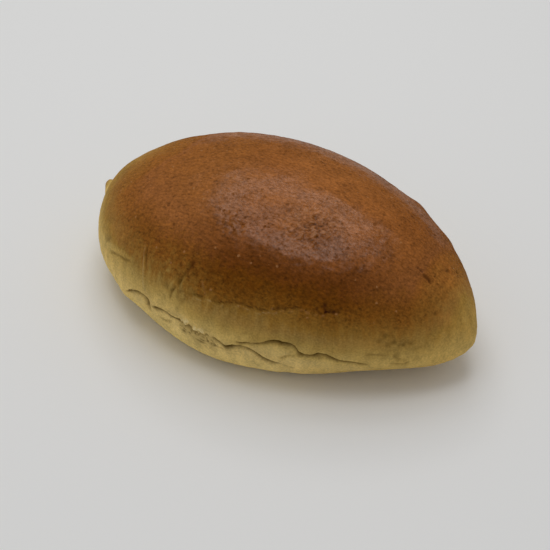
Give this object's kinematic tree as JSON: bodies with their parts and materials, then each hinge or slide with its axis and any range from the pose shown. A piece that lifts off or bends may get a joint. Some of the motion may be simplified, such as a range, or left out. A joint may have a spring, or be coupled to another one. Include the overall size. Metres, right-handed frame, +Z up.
{
  "type": "milk bread roll",
  "caption": "Oval milk bread roll with a glazed brown domed crown, drawn-out tips, pale sides with tucked folds and a flat baked foot.",
  "frame": {"origin": "on the surface it rests on, under the middle of the roll's box", "axes": "+X along the roll towards its sharper tip, +Z up, -Y the front side that the picture shows"},
  "size_m": [0.1552, 0.0938, 0.0561],
  "materials": {
    "crust": "egg-washed bread crust, satin brown crown over pale yellow sides"
  },
  "bodies": {
    "root": {"roll": "crust"}
  },
  "joints": []
}
